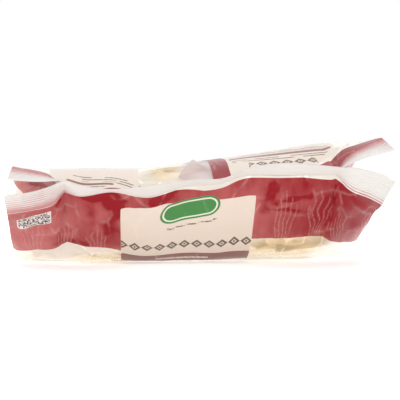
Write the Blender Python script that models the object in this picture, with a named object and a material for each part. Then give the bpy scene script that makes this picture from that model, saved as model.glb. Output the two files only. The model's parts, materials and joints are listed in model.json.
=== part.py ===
"""A side-gusseted film bag of dry ribbon pasta nests, lying on its front panel with its top seal towards -Y.

The bag is one closed skin, lofted from the free edge of the near seal, over the filled body, to the free
edge of the far seal. Each seal is pressed flat between the gusset folds and parts beyond them into a front
and a back tail. The tables are in millimetres of the real bag and in degrees, measured from the middle of
the near seal's root on the floor. make_bag turns them into metres and centres the bag over the origin.
"""

import bmesh
import bpy
import numpy as np

MM = 0.001
TOLERANCE = 0.001  # of a place across a panel

# Flat film
PANEL_WIDTH = 190.0  # front and back panel, crease to crease
GUSSET_DEPTH = 29.0  # each side gusset folds in this far
FIN_WIDTH = 13.5  # crimped end seal
SEAL_THICKNESS = 0.8

# Filled body
BODY_END = 236.0  # from the near seal's root to the far one's
BODY_SIDES = (-92.5, 94.5)  # at the creases
LEFT_BULGE, RIGHT_BULGE = 6.5, -7.0  # the contents push one gusset out, and the other is drawn in
BULGE_ENDS = (20.0, 100.0)  # it grows between these distances from a seal
BULGE_POWER = 1.8  # over 1 puts the bulge above the middle of the side
LOW_CREASE = 4.0  # height of the front panel's side creases
HIGH_CREASE_DROP = 5.5  # the back panel's side creases lie this far below its top
LOW_CORNER, HIGH_CORNER = 9.0, 22.0  # each panel rounds off over this width beside a crease
CORNER_POWER = 2.4  # 2 rounds off as an arc, and more keeps the panel flat for longer
THIN_SIDE = 43.5  # thickness at the left side
THICKER_BY = 9.5  # at the right side
CLIMB = (-40.0, 100.0)  # the back panel climbs from left to right between these
NEAR_RISE, NEAR_RISE_RIGHT = 5.0, 5.5  # the first row of nests stands higher, and higher still on the right
NEAR_RISE_ENDS = (60.0, 115.0)
NEST_PITCH = (61.5, 50.0)  # across and along
FIRST_NEST_ROW = 43.0
NEST_DOME = 2.4  # the film rises this much over each nest

# Steps of the skin
TAIL_STEPS, MIDDLE_STEPS = 5, 22
FIN_RINGS, SLOPE_RINGS, BODY_RINGS = 2, 11, 11
CURVE_STEPS = 60
SLOPE_SPACING = 1.1  # over 1 sets the rings closer together near the seal

# Root of each end seal between the gusset folds: across, height, lean of its fin above level, splay outwards
NEAR_SEAL = [
    (-66.7, 38.4, 25, 0),
    (-58.0, 36.2, 23, 0),
    (-43.5, 38.2, 7, 0),
    (-26.0, 35.6, 26, 0),
    (-8.0, 40.6, 15, 0),
    (9.0, 42.0, 12, 0),
    (21.5, 45.8, 17, 0),
    (40.5, 45.8, 28, 0),
    (67.0, 46.3, 16, 0),
]
FAR_SEAL = [
    (-66.7, 26.5, 8, 0),
    (-40.0, 29.0, 20, 0),
    (-10.0, 27.0, 4, 0),
    (20.0, 30.0, 18, 0),
    (45.0, 28.5, 8, 0),
    (67.0, 30.5, 14, 0),
]
# The tails beyond the folds, in the same columns, from the fold out to the crease
NEAR_TAILS = {
    "front_left": [(-72.4, 31.9, 44, 5), (-83.0, 29.3, 42, 4), (-94.0, 27.7, 43, 7)],
    "front_right": [(74.2, 38.8, 49, 27), (83.6, 34.8, 60, 52), (90.2, 31.3, 60, 76)],
    "back_left": [(-73.8, 45.5, -6, -12), (-81.4, 48.3, -20, -8), (-91.4, 50.5, -26, 9)],
    "back_right": [(72.0, 54.5, -5, 11), (79.5, 59.2, -14, 12), (90.0, 64.3, -25, 16)],
}
FAR_TAILS = {
    "front_left": [(-75.0, 21.5, 24, 3), (-84.0, 18.0, 27, 5), (-93.0, 15.5, 28, 8)],
    "front_right": [(75.5, 25.5, 20, 3), (84.0, 22.0, 26, 6), (93.5, 18.5, 30, 10)],
    "back_left": [(-74.5, 32.0, -6, 2), (-83.5, 36.0, -12, 5), (-92.5, 38.5, -20, 8)],
    "back_right": [(75.0, 37.5, -6, 2), (83.5, 42.0, -12, 5), (93.0, 45.5, -18, 9)],
}

# The way from a seal's root onto the body, for places across each panel: how far along the body it reaches,
# the first run of the film along and up, and its last run along and up
NEAR_FRONT_SLOPE = [
    (-95.0, 58, 30, -11, 12, 1),
    (-82.0, 58, 30, -12, 12, 0),
    (-70.0, 56, 22, -18, 14, 0),
    (-58.0, 54, 14, -17, 18, 0),
    (-30.0, 50, 12, -15, 20, 0),
    (20.0, 53, 12, -18, 22, 0),
    (58.0, 58, 12, -18, 22, 0),
    (70.0, 65, 18, -18, 22, 0),
    (84.0, 80, 28, -11, 24, 2),
    (95.0, 90, 30, -9, 30, 8),
]
NEAR_BACK_SLOPE = [
    (-95.0, 60, 22, -1, 20, 2),
    (-67.0, 46, 14, 3, 18, 0),
    (-26.0, 44, 13, 6, 18, 0),
    (30.0, 48, 15, 6, 20, 0),
    (67.0, 50, 12, 8, 20, 0),
    (95.0, 80, 32, 0, 26, 4),
]
FAR_FRONT_SLOPE = [
    (-95.0, 48, 14, -5, 18, 1),
    (-60.0, 42, 10, -12, 18, 0),
    (60.0, 42, 10, -12, 18, 0),
    (95.0, 48, 14, -5, 18, 1),
]
FAR_BACK_SLOPE = [
    (-95.0, 50, 14, 2, 18, 0),
    (-60.0, 42, 12, 9, 18, 0),
    (60.0, 42, 12, 9, 18, 0),
    (95.0, 50, 14, 2, 18, 0),
]
GUSSET_RUN, GUSSET_SPREAD = 26.0, 6.0  # a gusset's middle leaves the seal this far along the bag and outwards

# Lengthwise seam of the back panel: a fin that lies over to the left and stands up near the near seal
SEAM_ACROSS = 6.5
SEAM_WIDTH = 10.0
SEAM_THICKNESS = 0.8
SEAM_FOOT = (-1.6, -0.8, 0.0, 0.8, 1.6)  # where its points lie in the flat panel
SEAM_RISE = (2.0, 16.0)  # it lies in the seal up to the first distance, and is whole from the second
SEAM_LEANS = [(0, 8), (12, 17), (26, 20), (40, 6), (60, 2), (236, 2)]  # distance, degrees above level

FILM_COLOUR = (0.43, 0.055, 0.055, 1.0)
FILM_ROUGHNESS = 0.35


def clear_scene():
    for old in list(bpy.data.objects):
        bpy.data.objects.remove(old, do_unlink=True)


def film_material():
    material = bpy.data.materials.new("printed_film")
    material.use_nodes = True
    shader = material.node_tree.nodes["Principled BSDF"]
    shader.inputs["Base Color"].default_value = FILM_COLOUR
    shader.inputs["Roughness"].default_value = FILM_ROUGHNESS
    shader.inputs["Metallic"].default_value = 0.0
    return material


def smooth_step(x, low, high):
    t = np.clip((x - low) / (high - low), 0, 1)
    return t * t * (3 - 2 * t)


def read_row(table, at):
    columns = np.array(table, float).T
    return np.array([np.interp(at, columns[0], column) for column in columns[1:]])


def smooth_through(points):
    """A curve through the given points, as a table whose first column is the share of its length."""
    given = np.array(points, float)
    given = np.vstack([2 * given[0] - given[1], given, 2 * given[-1] - given[-2]])
    fine = []
    for a, b, c, d in zip(given, given[1:], given[2:], given[3:]):
        for t in np.linspace(0, 1, CURVE_STEPS, endpoint=False):
            bend = (2 * a - 5 * b + 4 * c - d) * t**2 + (3 * b - a - 3 * c + d) * t**3
            fine.append(0.5 * (2 * b + (c - a) * t + bend))
    fine = np.array(fine + [given[-2]])
    run = np.concatenate([[0], np.cumsum(np.linalg.norm(np.diff(fine[:, :2], axis=0), axis=1))])
    return np.column_stack([run / run[-1], fine])


def across_panel():
    """Places across a panel, left crease to right crease, with a close group of them at the back seam."""
    half, fold = PANEL_WIDTH / 2, PANEL_WIDTH / 2 - GUSSET_DEPTH
    tail = np.linspace(-half, -fold, TAIL_STEPS + 1)
    middle = np.linspace(-fold, fold, MIDDLE_STEPS + 1)[1:-1]
    middle = middle[np.abs(middle - SEAM_ACROSS) > 2 * SEAM_FOOT[-1]]
    return np.sort(np.concatenate([tail, middle, SEAM_ACROSS + np.array(SEAM_FOOT), -tail]))


def film_loop():
    """The film once round the bag: the panel and the millimetres across it, for each point of a ring."""
    panel = across_panel()
    gusset = np.linspace(0, 2 * GUSSET_DEPTH, 2 * TAIL_STEPS + 1)
    loop = [("front", u) for u in panel[:-1]]
    loop += [("right", u) for u in gusset[:-1]]
    loop += [("back", u) for u in panel[:0:-1]]
    loop += [("left", u) for u in gusset[:-1]]
    return loop


def seal_faces(seal, tails, face):
    """Lower and upper side of a seal's fin across one panel, each as rows of root and fin direction."""
    fold = PANEL_WIDTH / 2 - GUSSET_DEPTH
    middle = smooth_through(seal)
    left = smooth_through([seal[0]] + tails[f"{face}_left"])
    right = smooth_through([seal[-1]] + tails[f"{face}_right"])
    rows = []
    for u in across_panel():
        if abs(u) <= fold + TOLERANCE:
            rows.append(read_row(middle, (u + fold) / (2 * fold)))
        else:
            rows.append(read_row(left if u < 0 else right, (abs(u) - fold) / GUSSET_DEPTH))
    x, z, lean, splay = np.array(rows).T
    lean, splay = np.radians(lean), np.radians(splay) * np.sign(x)
    way = np.column_stack([np.cos(lean) * np.sin(splay), -np.cos(lean) * np.cos(splay), np.sin(lean)])
    root = np.column_stack([x, np.zeros_like(x), z])
    up = np.cross(way, np.gradient(root, axis=0))
    up *= SEAL_THICKNESS / np.linalg.norm(up, axis=1)[:, None]
    return np.hstack([root, way]), np.hstack([root + up, way])


def seal_loop(seal, tails):
    """A seal's root once round the film, and its fin's directions there. The body lies towards +Y."""
    front_out, front_in = seal_faces(seal, tails, "front")
    back_in, back_out = seal_faces(seal, tails, "back")
    split = (front_out + back_out) / 2
    tail = TAIL_STEPS
    right = [front_out[-1], *front_in[-2 : -tail - 1 : -1], split[-tail - 1], *back_in[-tail:-1]]
    left = [back_out[0], *back_in[1:tail], split[tail], *front_in[tail - 1 : 0 : -1]]
    loop = np.array([*front_out[:-1], *right, *back_out[:0:-1], *left])
    return loop[:, :3], loop[:, 3:]


def body_top(x, y):
    """Height of the back panel over the filled body, with a low dome over each nest of the upper layer."""
    climb = smooth_step(x, *CLIMB)
    near = 1 - smooth_step(y, *NEAR_RISE_ENDS)
    column = np.cos(np.pi * x / NEST_PITCH[0]) ** 2
    row = np.cos(np.pi * (y - FIRST_NEST_ROW) / NEST_PITCH[1]) ** 2
    dome = NEST_DOME * (column * row - 0.5) * (1 - near)
    return THIN_SIDE + THICKER_BY * climb + near * (NEAR_RISE + NEAR_RISE_RIGHT * climb) + dome


def body_point(panel, u, y):
    """A point of the film where it wraps the contents, at y along the bag."""
    if panel in ("front", "back"):
        half = PANEL_WIDTH / 2
        x = np.interp(u, (-half, half), BODY_SIDES)
        corner = LOW_CORNER if panel == "front" else HIGH_CORNER
        outwards = np.clip(1 - (half - abs(u)) / corner, 0, 1)
        round_off = 1 - np.sqrt(1 - outwards**CORNER_POWER)
        if panel == "front":
            return x, y, LOW_CREASE * round_off
        return x, y, body_top(x, y) - HIGH_CREASE_DROP * round_off
    side = 1 if panel == "right" else -1
    rise = u / (2 * GUSSET_DEPTH) if side > 0 else 1 - u / (2 * GUSSET_DEPTH)
    crease = BODY_SIDES[side > 0]
    high = body_top(crease, y) - HIGH_CREASE_DROP
    bulge = (RIGHT_BULGE if side > 0 else LEFT_BULGE) * smooth_step(min(y, BODY_END - y), *BULGE_ENDS)
    x = crease + side * bulge * np.sin(np.pi * rise**BULGE_POWER)
    return x, y, LOW_CREASE + (high - LOW_CREASE) * rise


def slope_at(panel, u, front_slope, back_slope):
    """Reach of the slope at a place on the film, and the film's first and last run there."""
    if panel in ("front", "back"):
        reach, along, up, last_along, last_up = read_row(front_slope if panel == "front" else back_slope, u)
        return reach, (0, along, up), (0, -last_along, last_up)
    side = 1 if panel == "right" else -1
    rise = u / (2 * GUSSET_DEPTH) if side > 0 else 1 - u / (2 * GUSSET_DEPTH)
    low = read_row(front_slope, side * PANEL_WIDTH / 2)
    high = read_row(back_slope, side * PANEL_WIDTH / 2)
    reach, along, up, last_along, last_up = low * (1 - rise) + high * rise
    middle = np.sin(np.pi * rise)
    first = np.array([0, along, up]) * (1 - middle)
    first += np.array([side * GUSSET_SPREAD, GUSSET_RUN, 0]) * middle
    return reach, first, (0, -last_along, last_up * (1 - middle))


def end_rings(seal, tails, front_slope, back_slope, far):
    """Rings from a seal's free edge in to the body, with Y measured from the seal, and how far they reach."""
    roots, ways = seal_loop(seal, tails)
    rings = [roots + ways * FIN_WIDTH * (1 - k / FIN_RINGS) for k in range(FIN_RINGS)]
    slopes = [slope_at(panel, u, front_slope, back_slope) for panel, u in film_loop()]
    reaches = np.array([reach for reach, _, _ in slopes])
    body = np.array([
        body_point(panel, u, BODY_END - reach if far else reach)
        for (panel, u), reach in zip(film_loop(), reaches)
    ])
    body[:, 1] = reaches
    leaving = roots + np.array([first for _, first, _ in slopes])
    arriving = body + np.array([last for _, _, last in slopes])
    for k in range(SLOPE_RINGS):
        t = (k / SLOPE_RINGS) ** SLOPE_SPACING
        near = (1 - t) ** 3 * roots + 3 * t * (1 - t) ** 2 * leaving
        rings.append(near + 3 * t**2 * (1 - t) * arriving + t**3 * body)
    return rings, reaches


def raise_seam(ring, loop):
    """Draws the close group of points at the back seam out into the seam's fin."""
    reach = SEAM_FOOT[-1] + TOLERANCE
    group = [i for i, (panel, u) in enumerate(loop) if panel == "back" and abs(u - SEAM_ACROSS) < reach]
    foot = ring[group[len(group) // 2]].copy()
    from_end = min(foot[1], BODY_END - foot[1])
    whole = smooth_step(from_end, *SEAM_RISE)
    lean = np.radians(read_row(SEAM_LEANS, from_end)[0])
    out = SEAM_WIDTH * np.array([-np.cos(lean), 0, np.sin(lean)])
    over = SEAM_THICKNESS / 2 * np.array([np.sin(lean), 0, np.cos(lean)])
    fin = [over, out / 2 + over, out, out / 2 - over, -over]
    for i, offset in zip(group, fin):
        ring[i] = ring[i] * (1 - whole) + (foot + offset) * whole


def skin_rings():
    near, near_reach = end_rings(NEAR_SEAL, NEAR_TAILS, NEAR_FRONT_SLOPE, NEAR_BACK_SLOPE, False)
    far, far_reach = end_rings(FAR_SEAL, FAR_TAILS, FAR_FRONT_SLOPE, FAR_BACK_SLOPE, True)
    for ring in far:
        ring[:, 1] = BODY_END - ring[:, 1]
    loop = film_loop()
    middle = []
    for share in np.linspace(0, 1, BODY_RINGS + 1):
        along = near_reach + (BODY_END - far_reach - near_reach) * share
        middle.append(np.array([body_point(panel, u, y) for (panel, u), y in zip(loop, along)]))
    rings = near + middle + far[::-1]
    for ring in rings[FIN_RINGS:-FIN_RINGS]:
        raise_seam(ring, loop)
    return rings


def cap_faces(first):
    """Closes a seal's free edge, from each point to the one that lies on the seal's other side."""
    tail, gusset = TAIL_STEPS, 2 * TAIL_STEPS
    right = len(across_panel()) - 1
    back, left, total = right + gusset, 2 * right + gusset, 2 * right + 2 * gusset
    strips = [[(i, left - i) for i in range(tail, right - tail + 1)]]
    for crease in (right, back, left, total):
        strips.append([(crease - k, crease + k) for k in range(tail + 1)])
    faces = [[a, b, d, c] for strip in strips for (a, b), (c, d) in zip(strip, strip[1:])]
    faces.append([right - tail, right + tail, back + tail])
    faces.append([left - tail, left + tail, tail])
    return [[first + i for i in dict.fromkeys(i % total for i in face)] for face in faces]


def make_bag(collection):
    rings = skin_rings()
    count = len(rings[0])
    faces = []
    for start in range(0, (len(rings) - 1) * count, count):
        for i in range(count):
            j = (i + 1) % count
            faces.append([start + i, start + j, start + count + j, start + count + i])
    faces += cap_faces(0) + cap_faces((len(rings) - 1) * count)
    points = np.vstack(rings) * MM
    points[:, :2] -= (points[:, :2].min(axis=0) + points[:, :2].max(axis=0)) / 2
    mesh = bpy.data.meshes.new("pasta_bag")
    mesh.from_pydata(points.tolist(), [], faces)
    shape = bmesh.new()
    shape.from_mesh(mesh)
    bmesh.ops.recalc_face_normals(shape, faces=shape.faces)
    shape.to_mesh(mesh)
    shape.free()
    mesh.shade_smooth()
    mesh.materials.append(film_material())
    collection.objects.link(bpy.data.objects.new("pasta_bag", mesh))


def main():
    clear_scene()
    collection = bpy.data.collections.new("pasta_bag")
    bpy.context.scene.collection.children.link(collection)
    make_bag(collection)


main()
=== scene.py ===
import functools
import json
import math

import bmesh
import bpy
import numpy as np
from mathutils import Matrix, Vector, noise
from mathutils.bvhtree import BVHTree

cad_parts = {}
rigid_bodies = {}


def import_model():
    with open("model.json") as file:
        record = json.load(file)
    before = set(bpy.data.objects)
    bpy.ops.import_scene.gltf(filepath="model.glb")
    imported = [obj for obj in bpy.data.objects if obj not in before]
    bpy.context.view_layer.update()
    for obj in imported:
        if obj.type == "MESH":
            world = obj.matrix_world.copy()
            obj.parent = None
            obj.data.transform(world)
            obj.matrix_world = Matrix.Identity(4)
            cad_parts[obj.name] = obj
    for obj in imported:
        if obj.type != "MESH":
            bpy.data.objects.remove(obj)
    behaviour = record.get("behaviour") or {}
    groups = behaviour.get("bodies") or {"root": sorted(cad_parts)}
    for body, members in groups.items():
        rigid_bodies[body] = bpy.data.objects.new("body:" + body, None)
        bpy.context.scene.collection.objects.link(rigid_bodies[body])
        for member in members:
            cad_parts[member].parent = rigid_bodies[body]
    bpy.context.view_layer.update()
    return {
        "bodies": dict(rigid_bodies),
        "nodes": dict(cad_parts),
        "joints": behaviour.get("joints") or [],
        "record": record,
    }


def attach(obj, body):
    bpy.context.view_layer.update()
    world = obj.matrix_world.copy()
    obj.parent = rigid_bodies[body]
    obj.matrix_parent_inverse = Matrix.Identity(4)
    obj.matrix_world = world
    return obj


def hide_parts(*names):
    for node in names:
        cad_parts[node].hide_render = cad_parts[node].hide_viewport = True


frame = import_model()
mm = 0.001
rounding = 0.001  # mm that two equal places may differ by
print("frame loaded")


# Film bag. Lengths are in mm of the real bag and angles in degrees, from the middle of the near seal's root
# on the floor, +Y along the bag. The seal rows are: across, height, lean of the fin, splay outwards.
bag = {
    "panelWidth": 190.0,
    "gussetDepth": 29.0,
    "finWidth": 13.5,
    "finThickness": 0.4,
    "bodyEnd": 236.0,
    "bodySides": (-92.5, 94.5),
    "sideBulge": (6.5, -7.0),  # left side pushed out, right side drawn in
    "bulgeEnds": (20.0, 100.0),
    "bulgePower": 1.8,
    "lowCrease": 4.0,
    "highCreaseDrop": 5.5,
    "corners": {"front": 9.0, "back": 22.0},
    "cornerPower": 2.4,
    "thinSide": 43.5,
    "thickerBy": 9.5,
    "climb": (-40.0, 100.0),
    "nearRise": (5.0, 5.5),
    "nearRiseEnds": (60.0, 115.0),
    "nestDome": 2.4,
    "nearSeal": [
        (-66.7, 38.4, 25, 0), (-58.0, 36.2, 23, 0), (-43.5, 38.2, 7, 0), (-26.0, 35.6, 26, 0),
        (-8.0, 40.6, 15, 0), (9.0, 42.0, 12, 0), (21.5, 45.8, 17, 0), (40.5, 45.8, 28, 0),
        (67.0, 46.3, 16, 0),
    ],
    "farSeal": [
        (-66.7, 26.5, 8, 0), (-40.0, 29.0, 20, 0), (-10.0, 27.0, 4, 0),
        (20.0, 30.0, 18, 0), (45.0, 28.5, 8, 0), (67.0, 30.5, 14, 0),
    ],
    "nearTails": {
        "frontLeft": [(-72.4, 31.9, 44, 5), (-83.0, 29.3, 42, 4), (-94.0, 27.7, 43, 7)],
        "frontRight": [(74.2, 38.8, 49, 27), (83.6, 34.8, 60, 52), (90.2, 31.3, 60, 76)],
        "backLeft": [(-73.8, 45.5, -6, -12), (-81.4, 48.3, -20, -8), (-91.4, 50.5, -26, 9)],
        "backRight": [(72.0, 54.5, -5, 11), (79.5, 59.2, -14, 12), (90.0, 64.3, -25, 16)],
    },
    "farTails": {
        "frontLeft": [(-75.0, 21.5, 24, 3), (-84.0, 18.0, 27, 5), (-93.0, 15.5, 28, 8)],
        "frontRight": [(75.5, 25.5, 20, 3), (84.0, 22.0, 26, 6), (93.5, 18.5, 30, 10)],
        "backLeft": [(-74.5, 32.0, -6, 2), (-83.5, 36.0, -12, 5), (-92.5, 38.5, -20, 8)],
        "backRight": [(75.0, 37.5, -6, 2), (83.5, 42.0, -12, 5), (93.0, 45.5, -18, 9)],
    },
    # from a seal onto the body: across, reach, first run along and up, last run along and up
    "nearFrontSlope": [
        (-95.0, 58, 30, -11, 12, 1), (-82.0, 58, 30, -12, 12, 0), (-70.0, 56, 22, -18, 14, 0),
        (-58.0, 54, 14, -17, 18, 0), (-30.0, 50, 12, -15, 20, 0), (20.0, 53, 12, -18, 22, 0),
        (58.0, 58, 12, -18, 22, 0), (70.0, 65, 18, -18, 22, 0), (84.0, 80, 28, -11, 24, 2),
        (95.0, 90, 30, -9, 30, 8),
    ],
    "nearBackSlope": [
        (-95.0, 60, 22, -1, 20, 2), (-67.0, 46, 14, 3, 18, 0), (-26.0, 44, 13, 6, 18, 0),
        (30.0, 48, 15, 6, 20, 0), (67.0, 50, 12, 8, 20, 0), (95.0, 80, 32, 0, 26, 4),
    ],
    "farFrontSlope": [
        (-95.0, 48, 14, -5, 18, 1), (-60.0, 42, 10, -12, 18, 0),
        (60.0, 42, 10, -12, 18, 0), (95.0, 48, 14, -5, 18, 1),
    ],
    "farBackSlope": [
        (-95.0, 50, 14, 2, 18, 0), (-60.0, 42, 12, 9, 18, 0),
        (60.0, 42, 12, 9, 18, 0), (95.0, 50, 14, 2, 18, 0),
    ],
    "gussetRun": 26.0,
    "gussetSpread": 6.0,
    "slopeSpacing": 1.1,
    # lengthwise seam of the back panel, a fin that lies over to the left: its width and lean go by how far it
    # is from a seal
    "seamAcross": 6.5,
    "seamWidths": [(0, 19), (4, 17.5), (9, 14.5), (14, 11.5), (19, 7), (26, 5), (60, 10), (236, 10)],
    "seamThickness": 0.4,
    "seamFoot": 1.6,
    "seamPoints": 13,
    "seamRise": (0.5, 4.0),
    "seamLeans": [
        (0, -1), (4, 5), (9, 17), (14, 35), (19, 28), (26, 1), (38, -7), (60, -7), (100, -4), (236, -4),
    ],
    # crimp pressed into the end seals
    "ribPitch": 1.5,
    "ribHeight": 0.13,
    "ribMargin": 1.2,
    # steps of the skin
    "tailSteps": 16,
    "middleSteps": 76,
    "finRings": 40,
    "slopeRings": 54,
    "bodyRings": 64,
    "curveSteps": 60,
    "sharpAngle": 60,
}

# Contents: ribbons wound into nests, in two layers
nests = {
    "pitch": (61.5, 50.0),
    "firstRow": 43.0,
    "columns": (-61.5, 0.0, 61.5),
    "rows": 4,
    "size": (29.5, 24.5),
    "ribbon": (5.6, 0.9),
    "turns": 32,
    "stepsPerTurn": 30,
    "ringRadius": 0.6,  # of the nest's half size, to the middle of the wound ring
    "ringReach": 0.42,
    "fullness": 0.7,  # below 1 the ring's section is squarer
    "squareness": 2.8,
    "wind": (0.06, 0.07, 1.1),  # a strand round the ring's section: a step's turn, its change, its swing
    "fill": (0.7, 0.3),  # how near the strands lie to the section's edge, and its change
    "stray": 0.75,  # how far strands cross towards the middle
    "waver": (0.04, 1.1),  # of the ring's radius as a share, and of a strand's height in mm
    "roll": 0.9,
    "offPlace": 1.0,  # at most, of a nest
    "halfHeight": 11.5,
    "overlap": 1.5,  # the two layers settle into each other
    "layerHeights": (35.0, 12.0),  # upper and lower
    "outside": 25.0,  # height taken where there is no film
    "filmGap": 0.7,
    "gridReach": 100.0,  # rays start this far below and above the floor
    "sharpAngle": 40,
    "seed": 11,
}


panelKinds = ("front", "right", "back", "left")


def smoothStep(x, low, high):
    t = np.clip((x - low) / (high - low), 0, 1)
    return t * t * (3 - 2 * t)


def readRow(table, at):
    columns = np.array(table, float).T
    return np.array([np.interp(at, columns[0], column) for column in columns[1:]])


def smoothThrough(points):
    # a curve through the points, as a table that starts with the share of its length
    given = np.array(points, float)
    given = np.vstack([2 * given[0] - given[1], given, 2 * given[-1] - given[-2]])
    fine = []
    for a, b, c, d in zip(given, given[1:], given[2:], given[3:]):
        for t in np.linspace(0, 1, bag["curveSteps"], endpoint=False):
            bend = (2 * a - 5 * b + 4 * c - d) * t**2 + (3 * b - a - 3 * c + d) * t**3
            fine.append(0.5 * (2 * b + (c - a) * t + bend))
    fine = np.array(fine + [given[-2]])
    run = np.concatenate([[0], np.cumsum(np.linalg.norm(np.diff(fine[:, :2], axis=0), axis=1))])
    return np.column_stack([run / run[-1], fine])


def acrossPanel():
    half = bag["panelWidth"] / 2
    fold = half - bag["gussetDepth"]
    tail = np.linspace(-half, -fold, bag["tailSteps"] + 1)
    middle = np.linspace(-fold, fold, bag["middleSteps"] + 1)[1:-1]
    middle = middle[np.abs(middle - bag["seamAcross"]) > 2 * bag["seamFoot"]]
    seam = bag["seamAcross"] + np.linspace(-1, 1, bag["seamPoints"]) * bag["seamFoot"]
    return np.sort(np.concatenate([tail, middle, seam, -tail]))


def filmLoop():
    # the film once round the bag: panel and mm across it
    panel = acrossPanel()
    gusset = np.linspace(0, 2 * bag["gussetDepth"], 2 * bag["tailSteps"] + 1)
    loop = [("front", u) for u in panel[:-1]]
    loop += [("right", u) for u in gusset[:-1]]
    loop += [("back", u) for u in panel[:0:-1]]
    loop += [("left", u) for u in gusset[:-1]]
    return loop


def sealFaces(seal, tails, face):
    fold = bag["panelWidth"] / 2 - bag["gussetDepth"]
    middle = smoothThrough(seal)
    left = smoothThrough([seal[0]] + tails[face + "Left"])
    right = smoothThrough([seal[-1]] + tails[face + "Right"])
    rows = []
    for u in acrossPanel():
        if abs(u) <= fold + rounding:
            rows.append(readRow(middle, (u + fold) / (2 * fold)))
        else:
            rows.append(readRow(left if u < 0 else right, (abs(u) - fold) / bag["gussetDepth"]))
    x, z, lean, splay = np.array(rows).T
    lean, splay = np.radians(lean), np.radians(splay) * np.sign(x)
    way = np.column_stack([np.cos(lean) * np.sin(splay), -np.cos(lean) * np.cos(splay), np.sin(lean)])
    root = np.column_stack([x, np.zeros_like(x), z])
    up = np.cross(way, np.gradient(root, axis=0))
    up /= np.linalg.norm(up, axis=1)[:, None]
    return np.hstack([root, way, up]), np.hstack([root + up * bag["finThickness"], way, up])


def sealLoop(seal, tails):
    # a seal's root round the film, with the fin's direction and the direction up out of it
    frontOut, frontIn = sealFaces(seal, tails, "front")
    backIn, backOut = sealFaces(seal, tails, "back")
    split = (frontOut + backOut) / 2
    tail = bag["tailSteps"]
    right = [frontOut[-1], *frontIn[-2 : -tail - 1 : -1], split[-tail - 1], *backIn[-tail:-1]]
    left = [backOut[0], *backIn[1:tail], split[tail], *frontIn[tail - 1 : 0 : -1]]
    loop = np.array([*frontOut[:-1], *right, *backOut[:0:-1], *left])
    return loop[:, :3], loop[:, 3:6], loop[:, 6:]


def bodyTop(x, y):
    climb = smoothStep(x, *bag["climb"])
    near = 1 - smoothStep(y, *bag["nearRiseEnds"])
    column = np.cos(np.pi * x / nests["pitch"][0]) ** 2
    row = np.cos(np.pi * (y - nests["firstRow"]) / nests["pitch"][1]) ** 2
    dome = bag["nestDome"] * (column * row - 0.5) * (1 - near)
    rise = near * (bag["nearRise"][0] + bag["nearRise"][1] * climb)
    return bag["thinSide"] + bag["thickerBy"] * climb + rise + dome


def bodyPoint(panel, u, y):
    if panel in ("front", "back"):
        half = bag["panelWidth"] / 2
        x = np.interp(u, (-half, half), bag["bodySides"])
        outwards = np.clip(1 - (half - abs(u)) / bag["corners"][panel], 0, 1)
        roundOff = 1 - np.sqrt(1 - outwards ** bag["cornerPower"])
        if panel == "front":
            return x, y, bag["lowCrease"] * roundOff
        return x, y, bodyTop(x, y) - bag["highCreaseDrop"] * roundOff
    isRight = panel == "right"
    rise = u / (2 * bag["gussetDepth"])
    rise = rise if isRight else 1 - rise
    crease = bag["bodySides"][isRight]
    high = bodyTop(crease, y) - bag["highCreaseDrop"]
    bulge = bag["sideBulge"][isRight] * smoothStep(min(y, bag["bodyEnd"] - y), *bag["bulgeEnds"])
    x = crease + (1 if isRight else -1) * bulge * np.sin(np.pi * rise ** bag["bulgePower"])
    return x, y, bag["lowCrease"] + (high - bag["lowCrease"]) * rise


def slopeAt(panel, u, frontSlope, backSlope):
    if panel in ("front", "back"):
        reach, along, up, lastAlong, lastUp = readRow(frontSlope if panel == "front" else backSlope, u)
        return reach, (0, along, up), (0, -lastAlong, lastUp)
    side = 1 if panel == "right" else -1
    rise = u / (2 * bag["gussetDepth"])
    rise = rise if side > 0 else 1 - rise
    low = readRow(frontSlope, side * bag["panelWidth"] / 2)
    high = readRow(backSlope, side * bag["panelWidth"] / 2)
    reach, along, up, lastAlong, lastUp = low * (1 - rise) + high * rise
    middle = np.sin(np.pi * rise)
    first = np.array([0, along, up]) * (1 - middle)
    first += np.array([side * bag["gussetSpread"], bag["gussetRun"], 0]) * middle
    return reach, first, (0, -lastAlong, lastUp * (1 - middle))


def ribAt(fromRoot):
    # the crimp's ribs, with a flat margin along the root and the free edge
    inside = smoothStep(fromRoot, 0, bag["ribMargin"])
    inside = inside * smoothStep(bag["finWidth"] - fromRoot, 0, bag["ribMargin"])
    return bag["ribHeight"] * inside * np.sin(2 * np.pi * fromRoot / bag["ribPitch"])


def endRings(end):
    # the skin from a seal's free edge to the body, drawn for both ends as from the near one
    roots, ways, ups = sealLoop(bag[end + "Seal"], bag[end + "Tails"])
    rings = []
    for k in range(bag["finRings"]):
        fromRoot = bag["finWidth"] * (1 - k / bag["finRings"])
        rings.append(roots + ways * fromRoot + ups * ribAt(fromRoot))
    loop = filmLoop()
    frontSlope, backSlope = bag[end + "FrontSlope"], bag[end + "BackSlope"]
    slopes = [slopeAt(panel, u, frontSlope, backSlope) for panel, u in loop]
    reaches = np.array([reach for reach, _, _ in slopes])
    places = bag["bodyEnd"] - reaches if end == "far" else reaches
    body = np.array([bodyPoint(panel, u, y) for (panel, u), y in zip(loop, places)])
    body[:, 1] = reaches
    leaving = roots + np.array([first for _, first, _ in slopes])
    arriving = body + np.array([last for _, _, last in slopes])
    for k in range(bag["slopeRings"]):
        t = (k / bag["slopeRings"]) ** bag["slopeSpacing"]
        near = (1 - t) ** 3 * roots + 3 * t * (1 - t) ** 2 * leaving
        rings.append(near + 3 * t**2 * (1 - t) * arriving + t**3 * body)
    return rings, reaches


def seamColumns():
    middle, reach = bag["seamAcross"], bag["seamFoot"] + rounding
    return [i for i, (panel, u) in enumerate(filmLoop()) if panel == "back" and abs(u - middle) < reach]


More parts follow.
